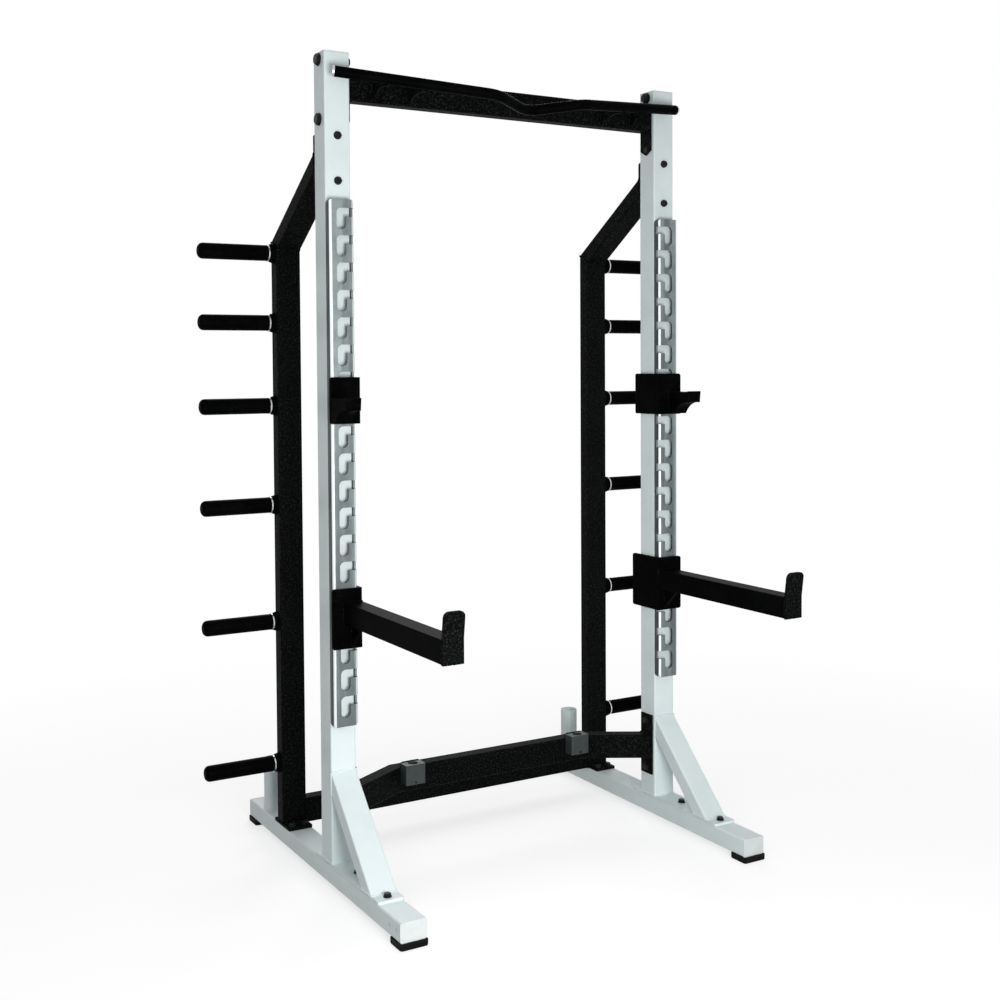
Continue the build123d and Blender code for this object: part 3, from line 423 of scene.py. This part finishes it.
black_seams = []
for side, sign in (("left", -1), ("right", 1)):
    low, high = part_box(f"{side}_rear_post")
    black_seams.append(round_joint(2, low.z, low, Vector((high.x, high.y, 0))))
    black_seams.append(round_joint(2, high.z - MITRE_DROP, low, high, MITRE_SLOPE))
    post_inner = high.x if sign < 0 else low.x
    low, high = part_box(f"{side}_rear_arm")
    black_seams.append(round_joint(1, low.y, Vector((low.x, 0, high.z - ARM_END)), high))
    low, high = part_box("rear_cross_tube")
    black_seams.append(round_joint(0, post_inner, low, high))
    for beam in ("top_beam", "lower_front_beam"):
        low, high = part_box(beam)
        end = high.x if sign > 0 else low.x
        black_seams.append(round_joint(0, end, *face_box(beam, 0, end)))
    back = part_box(f"{side}_peg_socket")[1].y
    black_seams.append(round_joint(1, back, *face_box(f"{side}_peg_socket", 1, back)))
weld("black_welds", "rack_frame", black_seams, sandy)

# The plate pegs with their collars, the pull-up bar, the J-cups and the spotter arms are smooth
# satin black. Plates, bars and hands rub it, so it carries fine scuffs and greyer edges.
SATIN_BLACK = (0.0014, 0.0015, 0.0016, 1.0)
SATIN_FADED = (0.0028, 0.0029, 0.0030, 1.0)
SATIN_SCUFF = (0.018, 0.019, 0.020, 1.0)
SATIN_EDGE = (0.075, 0.077, 0.080, 1.0)
SCUFF_STRENGTH = 0.3

satin, tree, shader, place = new_finish("black_satin_coat", Specular_IOR_Level=0.004)
rounded, edge = rounded_edges(tree, radius=0.0016)
rubbed = node(tree, "ShaderNodeMapping", {"Vector": place, "Scale": (0.25, 1.0, 1.0)}).outputs[0]
scuffs = spread(tree, grain(tree, rubbed, scale=150.0, detail=6.0, roughness=0.7), (0.55, 0.75), (0.0, 1.0))
faded = spread(tree, grain(tree, place, scale=14.0, detail=4.0), (0.4, 0.7), (0.0, 1.0))
chips = spread(tree, grain(tree, place, scale=110.0, detail=4.0), (0.45, 0.7), (0.05, 0.8))
colour = mixed(tree, faded, SATIN_BLACK, SATIN_FADED)
colour = mixed(tree, times(tree, scuffs, SCUFF_STRENGTH), colour, SATIN_SCUFF)
colour = mixed(tree, times(tree, edge, chips), colour, SATIN_EDGE)
roughness = spread(tree, scuffs, (0.0, 1.0), (0.34, 0.5))
skin = grain(tree, place, scale=420.0)
lay_on(tree, shader, colour, roughness, rounded, skin, strength=0.10, depth=0.0005)
dress(satin, *both("plate_pegs", "j_cup_bracket", "j_cup_horn", "spotter_bracket", "spotter_arm"),
      "pull_up_bar", "peg_collars")

# The stops at the tips of the spotter arms are cut from plate and carry the sandy black coat.
# Stop, arm and bracket are welded to each other, and so is each horn to its bracket.
dress(sandy, *both("spotter_stop"))
for side in ("left", "right"):
    low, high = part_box(f"{side}_spotter_arm")
    arm_seams = [round_joint(1, end, *face_box(f"{side}_spotter_arm", 1, end)) for end in (low.y, high.y)]
    weld(f"{side}_spotter_welds", f"{side}_spotter_arm", arm_seams, satin)
    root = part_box(f"{side}_j_cup_horn")[1].y
    horn_seam = round_joint(1, root, *face_box(f"{side}_j_cup_horn", 1, root))
    weld(f"{side}_j_cup_welds", f"{side}_j_cup", [horn_seam], satin)

# The rings at the peg roots, the caps of the pull-up bar and the hook studs are bare steel.
# They are turned bright on a lathe, and a little tarnish clouds them away from their edges.
BRIGHT = (0.62, 0.63, 0.64, 1.0)
BRIGHT_TARNISH = (0.46, 0.47, 0.48, 1.0)
BRIGHT_EDGE = (0.74, 0.75, 0.76, 1.0)

bright, tree, shader, place = new_finish("bright_steel", Metallic=1.0)
rounded, edge = rounded_edges(tree, radius=0.0008)
tarnish = spread(tree, grain(tree, place, scale=90.0, detail=4.0), (0.4, 0.7), (0.0, 1.0))
colour = mixed(tree, edge, mixed(tree, tarnish, BRIGHT, BRIGHT_TARNISH), BRIGHT_EDGE)
roughness = spread(tree, grain(tree, place, scale=400.0, detail=3.0), (0.3, 0.7), (0.22, 0.4))
tool_marks = grain(tree, place, scale=1200.0)
lay_on(tree, shader, colour, roughness, rounded, tool_marks, strength=0.08, depth=0.0002)
dress(bright, "peg_rings", "bar_end_caps", *both("j_cup_studs", "spotter_studs"))

# The two sockets on the lower beam are steel blocks with a round hole for a pin.
# They are welded to the beam's front and have a grey powder coat, paler along the edges.
GREY_COAT = (0.030, 0.040, 0.040, 1.0)
GREY_COAT_CLOUD = (0.020, 0.027, 0.027, 1.0)
GREY_COAT_EDGE = (0.10, 0.12, 0.12, 1.0)
GREY_EDGE_STRENGTH = 0.7

grey_coat, tree, shader, place = new_finish("grey_powder_coat", Specular_IOR_Level=0.4)
rounded, edge = rounded_edges(tree, radius=0.0014)
cloud = spread(tree, grain(tree, place, scale=30.0, detail=4.0), (0.4, 0.7), (0.0, 1.0))
colour = mixed(tree, cloud, GREY_COAT, GREY_COAT_CLOUD)
colour = mixed(tree, times(tree, edge, GREY_EDGE_STRENGTH), colour, GREY_COAT_EDGE)
roughness = spread(tree, grain(tree, place, scale=60.0, detail=3.0), (0.3, 0.7), (0.36, 0.55))
orange_peel = grain(tree, place, scale=380.0)
lay_on(tree, shader, colour, roughness, rounded, orange_peel, strength=0.2, depth=0.0005)
dress(grey_coat, *both("peg_socket"))

# A set screw in the front of each socket clamps its pin. Like all the bolts it is forged steel
# with a thin black oxide skin that wears to grey along the edges.
OXIDE = (0.006, 0.006, 0.007, 1.0)
OXIDE_CLOUD = (0.014, 0.015, 0.016, 1.0)
OXIDE_EDGE = (0.085, 0.087, 0.09, 1.0)
OXIDE_EDGE_STRENGTH = 0.7

oxide, tree, shader, place = new_finish("black_oxide_steel", Metallic=0.1, Specular_IOR_Level=0.12)
rounded, edge = rounded_edges(tree, radius=0.0008)
cloud = spread(tree, grain(tree, place, scale=120.0, detail=4.0), (0.4, 0.7), (0.0, 1.0))
colour = mixed(tree, cloud, OXIDE, OXIDE_CLOUD)
colour = mixed(tree, times(tree, edge, OXIDE_EDGE_STRENGTH), colour, OXIDE_EDGE)
roughness = spread(tree, grain(tree, place, scale=300.0, detail=3.0), (0.3, 0.7), (0.3, 0.5))
forged = grain(tree, place, scale=700.0)
lay_on(tree, shader, colour, roughness, rounded, forged, strength=0.15, depth=0.0003)
dress(oxide, "set_screws")

# Hex bolts with washers and nuts hold the rack together: M12, and M20 through the uprights' tops.
# Each has a bevelled head with a turned face, and a thread end that stands out of its nut.
SMALL_BOLT = {"shank_radius": 0.0060, "hex_radius": 0.010970,
              "washer_radius": 0.0120, "washer_thickness": 0.0022}
SMALL_HEAD = {"height": 0.0080, "tip_radius": 0.0085, "tip_height": 0.0004}
SMALL_NUT = {"height": 0.0100, "tip_radius": 0.0058, "tip_height": 0.0035}
LARGE_BOLT = {"shank_radius": 0.0100, "hex_radius": 0.017320,
              "washer_radius": 0.0185, "washer_thickness": 0.0030}
LARGE_HEAD = {"height": 0.0080, "tip_radius": 0.0135, "tip_height": 0.0006}
LARGE_NUT = {"height": 0.0115, "tip_radius": 0.0096, "tip_height": 0.0020}
PRISM_SHARE = 0.78  # of a head's height; its bevel takes the rest
BEVEL_SHARE = 0.84  # of the hexagon's radius, at the top of the bevel
PLATE = 0.008
BEAM_PLATE = 0.006
RAIL_WALL = 0.004
UPRIGHT = 0.080
UPRIGHT_WALL = 0.005
BASE_SETBACKS = (-0.335, -0.135, 0.062)  # of the base plate's bolts from the upright's middle
BOLT_INSET = 0.022  # of the other bolts from the edges of their plates
FOOT_PLATE_SHIFT = 0.022  # of the two bolts in a post's foot plate from the rail's middle
TOP_BOLT_HEIGHT = 2.445
BEAM_BOLT_HEIGHT = 2.272

bolt_tree, sizes = growing_tree("hex_fixings", "Shank radius", "Hex radius", "Height", "Washer radius",
                                "Washer thickness", "Tip radius", "Tip height")


def raised(shape, *heights):
    """Move a shape of the fixing up by the sum of some heights."""
    total = heights[0]
    for height in heights[1:]:
        total = node(bolt_tree, "ShaderNodeMath", {0: total, 1: height}).outputs[0]
    shift = node(bolt_tree, "ShaderNodeCombineXYZ", {"Z": total}).outputs[0]
    return node(bolt_tree, "GeometryNodeTransform", {"Geometry": shape, "Translation": shift}).outputs[0]


thickness, height, tip_height = sizes["Washer thickness"], sizes["Height"], sizes["Tip height"]
prism_height = times(bolt_tree, height, PRISM_SHARE)
washer = node(bolt_tree, "GeometryNodeMeshCylinder", {
    "Vertices": 32, "Radius": sizes["Washer radius"], "Depth": thickness})
prism = node(bolt_tree, "GeometryNodeMeshCylinder", {
    "Vertices": 6, "Radius": sizes["Hex radius"], "Depth": prism_height})
bevel = node(bolt_tree, "GeometryNodeMeshCone", {
    "Vertices": 6, "Radius Top": times(bolt_tree, sizes["Hex radius"], BEVEL_SHARE),
    "Radius Bottom": sizes["Hex radius"], "Depth": times(bolt_tree, height, 1 - PRISM_SHARE)})
tip = node(bolt_tree, "GeometryNodeMeshCylinder", {
    "Vertices": 24, "Radius": sizes["Tip radius"], "Depth": tip_height})
fixing = node(bolt_tree, "GeometryNodeJoinGeometry")
for shape in (
        raised(washer.outputs["Mesh"], times(bolt_tree, thickness, 0.5)),
        raised(prism.outputs["Mesh"], thickness, times(bolt_tree, height, PRISM_SHARE / 2)),
        raised(bevel.outputs["Mesh"], thickness, prism_height),
        raised(tip.outputs["Mesh"], thickness, height, times(bolt_tree, tip_height, 0.5))):
    bolt_tree.links.new(shape, fixing.inputs[0])
axis = node(bolt_tree, "GeometryNodeInputNamedAttribute", {"Name": "axis"}, data_type="FLOAT_VECTOR")
turn = node(bolt_tree, "FunctionNodeAlignRotationToVector", {"Vector": axis.outputs[0]}, axis="Z")
placed = node(bolt_tree, "GeometryNodeInstanceOnPoints", {
    "Points": sizes["Geometry"], "Instance": fixing.outputs[0], "Rotation": turn.outputs[0]})
grip = node(bolt_tree, "GeometryNodeInputNamedAttribute", {"Name": "grip"}, data_type="FLOAT")
shank = node(bolt_tree, "GeometryNodeMeshCylinder", {
    "Vertices": 20, "Radius": sizes["Shank radius"], "Depth": 1.0})
shank = node(bolt_tree, "GeometryNodeTransform", {
    "Geometry": shank.outputs["Mesh"], "Translation": (0, 0, -0.5)})
length = node(bolt_tree, "ShaderNodeCombineXYZ", {"X": 1.0, "Y": 1.0, "Z": grip.outputs[0]})
shanks = node(bolt_tree, "GeometryNodeInstanceOnPoints", {
    "Points": sizes["Geometry"], "Instance": shank.outputs[0], "Rotation": turn.outputs[0],
    "Scale": length.outputs[0]})
whole = node(bolt_tree, "GeometryNodeJoinGeometry")
bolt_tree.links.new(placed.outputs[0], whole.inputs[0])
bolt_tree.links.new(shanks.outputs[0], whole.inputs[0])
whole = node(bolt_tree, "GeometryNodeRealizeInstances", {"Geometry": whole.outputs[0]})
whole = node(bolt_tree, "GeometryNodeSetMaterial",
             {"Geometry": whole.outputs[0], "Material": sizes["Finish"]})
node(bolt_tree, "NodeGroupOutput", {0: whole.outputs[0]})


def fixings(name, places, replaced, bolt, head, nut):
    """Bolts at places, each a spot, an outward axis, the stack that it clamps and whether it has a nut."""
    for part, form in (("heads", head), ("nuts", nut)):
        spots, axes, grips = [], [], []
        for spot, outward, stack, nutted in places:
            outward = Vector(outward)
            if part == "heads":
                spots.append(Vector(spot))
                axes.append(outward)
                grips.append(stack / 2 if nutted else stack)
            elif nutted:
                spots.append(Vector(spot) - outward * stack)
                axes.append(-outward)
                grips.append(stack / 2)
        piece = grown_piece(f"{name}_{part}", bolt_tree, spots, axes=axes, grips=grips,
                            finish=oxide, **bolt, **form)
        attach(piece, "rack_frame")
        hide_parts(replaced)


base_places, arm_places, beam_places, lower_places = [], [], [], []
for side, sign in (("left", -1), ("right", 1)):
    low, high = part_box(f"{side}_front_upright")
    middle = (low + high) / 2
    for setback in BASE_SETBACKS:
        spot = (middle.x, middle.y + setback, low.z)
        base_places.append((spot, (0, 0, 1), PLATE + RAIL_WALL, True))
    plate_low, plate_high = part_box(f"{side}_rear_post_foot_plate")
    for shift in (-FOOT_PLATE_SHIFT, FOOT_PLATE_SHIFT):
        spot = (middle.x + shift, plate_low.y + BOLT_INSET, plate_high.z)
        base_places.append((spot, (0, 0, 1), PLATE + RAIL_WALL, True))
    plate_low, plate_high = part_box(f"{side}_rear_arm_plate")
    for height in (plate_low.z + BOLT_INSET, plate_high.z - BOLT_INSET):
        arm_places.append(((middle.x, low.y, height), (0, -1, 0), UPRIGHT + PLATE, True))
    outer = high.x if sign > 0 else low.x
    inner = low.x if sign > 0 else high.x
    for height, stack, nutted in (
            (BEAM_BOLT_HEIGHT, UPRIGHT + BEAM_PLATE, False), (TOP_BOLT_HEIGHT, UPRIGHT, True)):
        beam_places.append(((outer, middle.y, height), (sign, 0, 0), stack, nutted))
    plate_low, plate_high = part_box("lower_end_plates")
    for height in (plate_low.z + BOLT_INSET, plate_high.z - BOLT_INSET):
        spot = (inner - sign * BEAM_PLATE, middle.y, height)
        lower_places.append((spot, (-sign, 0, 0), UPRIGHT_WALL + BEAM_PLATE, True))
fixings("base_fixings", base_places, "base_bolts", SMALL_BOLT, SMALL_HEAD, SMALL_NUT)
fixings("arm_fixings", arm_places, "rear_arm_bolts", SMALL_BOLT, SMALL_HEAD, SMALL_NUT)
fixings("lower_beam_fixings", lower_places, "beam_bolts", SMALL_BOLT, SMALL_HEAD, SMALL_NUT)
fixings("top_beam_fixings", beam_places, "beam_bolts", LARGE_BOLT, LARGE_HEAD, LARGE_NUT)

# The studio has a pale floor that keeps the rack's shadow and runs on into white air.
# A broad lamp stands in front at chest height, a weak one to the left and a wide one behind.
WHITE = (1.0, 1.0, 1.0, 1.0)
SOFT_LIGHT = 0.30
FLOOR_GREY = (0.5, 0.5, 0.5, 1.0)
FLOOR_GLOW = 0.66  # lifts the lit floor to white where it is looked at
FLOOR_REACH = 12.0
FLOOR_FADE = (0.9, 3.2)  # distances between which the floor turns plain white
RACK_MIDDLE = (0.0, 0.0, 1.1)

scene = bpy.context.scene
scene.view_settings.view_transform = "Standard"


def seen_directly(tree):
    """One for what the camera, a mirror or glass sees, zero for the light that falls on things."""
    path = node(tree, "ShaderNodeLightPath").outputs
    some = node(tree, "ShaderNodeMath", {0: path["Is Camera Ray"], 1: path["Is Glossy Ray"]},
                operation="MAXIMUM").outputs[0]
    return node(tree, "ShaderNodeMath", {0: some, 1: path["Is Transmission Ray"]},
                operation="MAXIMUM").outputs[0]


air = bpy.data.worlds.new("studio_air")
scene.world = air
air.use_nodes = True
tree = air.node_tree
tree.nodes.clear()
soft_light = node(tree, "ShaderNodeBackground", {"Color": WHITE, "Strength": SOFT_LIGHT})
white_air = node(tree, "ShaderNodeBackground", {"Color": WHITE, "Strength": 1.0})
air_mix = node(tree, "ShaderNodeMixShader", {
    0: seen_directly(tree), 1: soft_light.outputs[0], 2: white_air.outputs[0]})
node(tree, "ShaderNodeOutputWorld", {"Surface": air_mix.outputs[0]})

floor_data = bpy.data.meshes.new("studio_floor")
corners = [(x * FLOOR_REACH, y * FLOOR_REACH, 0.0) for x, y in ((-1, -1), (1, -1), (1, 1), (-1, 1))]
floor_data.from_pydata(corners, [], [(0, 1, 2, 3)])
floor = bpy.data.objects.new("studio_floor", floor_data)
scene.collection.objects.link(floor)
floor_paint = bpy.data.materials.new("studio_floor_paint")
floor_paint.use_nodes = True
tree = floor_paint.node_tree
tree.nodes.clear()
spot = node(tree, "ShaderNodeTexCoord").outputs["Object"]
distance = node(tree, "ShaderNodeVectorMath", {0: spot}, operation="LENGTH").outputs["Value"]
far = spread(tree, distance, FLOOR_FADE, (0.0, 1.0))
paint = node(tree, "ShaderNodeBsdfDiffuse", {"Color": FLOOR_GREY})
glow = node(tree, "ShaderNodeEmission", {"Color": WHITE, "Strength": FLOOR_GLOW})
near_floor = node(tree, "ShaderNodeAddShader", {0: paint.outputs[0], 1: glow.outputs[0]})
far_floor = node(tree, "ShaderNodeEmission", {"Color": WHITE, "Strength": 1.0})
shown = node(tree, "ShaderNodeMixShader", {0: far, 1: near_floor.outputs[0], 2: far_floor.outputs[0]})
lit_floor = node(tree, "ShaderNodeMixShader", {
    0: seen_directly(tree), 1: paint.outputs[0], 2: shown.outputs[0]})
node(tree, "ShaderNodeOutputMaterial", {"Surface": lit_floor.outputs[0]})
floor_data.materials.append(floor_paint)


def lamp(name, spot, aim, size, power):
    """Square soft lamp at a spot, turned to an aim."""
    data = bpy.data.lights.new(name, "AREA")
    data.size = size
    data.energy = power
    made = bpy.data.objects.new(name, data)
    made.location = spot
    made.rotation_euler = (Vector(aim) - Vector(spot)).to_track_quat("-Z", "Y").to_euler()
    scene.collection.objects.link(made)


lamp("front_lamp", spot=(-0.75, -2.8, 1.0), aim=RACK_MIDDLE, size=1.2, power=59.0)
lamp("side_lamp", spot=(-2.2, -1.5, 2.2), aim=RACK_MIDDLE, size=1.2, power=9.0)
lamp("rear_lamp", spot=(1.2, 3.2, 3.2), aim=(0.0, 0.0, 1.2), size=2.0, power=45.0)

# The camera stands where the photograph was taken: at eye height, well to the left of the rack.
# It looks down a little, and its lens is shifted to frame the whole rack.
EYE = Vector((-2.131, -3.5915, 1.560))
YAW, PITCH, ROLL = (math.radians(angle) for angle in (30.283, -2.071, -0.322))

forward = Vector((math.sin(YAW) * math.cos(PITCH), math.cos(YAW) * math.cos(PITCH), math.sin(PITCH)))
level = Vector((math.cos(YAW), -math.sin(YAW), 0.0))
upward = level.cross(forward)
right = level * math.cos(ROLL) + upward * math.sin(ROLL)
up = upward * math.cos(ROLL) - level * math.sin(ROLL)
camera_data = bpy.data.cameras.new("photo_camera")
camera_data.sensor_width = 36.0
camera_data.lens = 47.39
camera_data.shift_y = -0.0898
camera = bpy.data.objects.new("photo_camera", camera_data)
camera.matrix_world = Matrix((right, up, -forward)).transposed().to_4x4()
camera.location = EYE
scene.collection.objects.link(camera)
scene.camera = camera
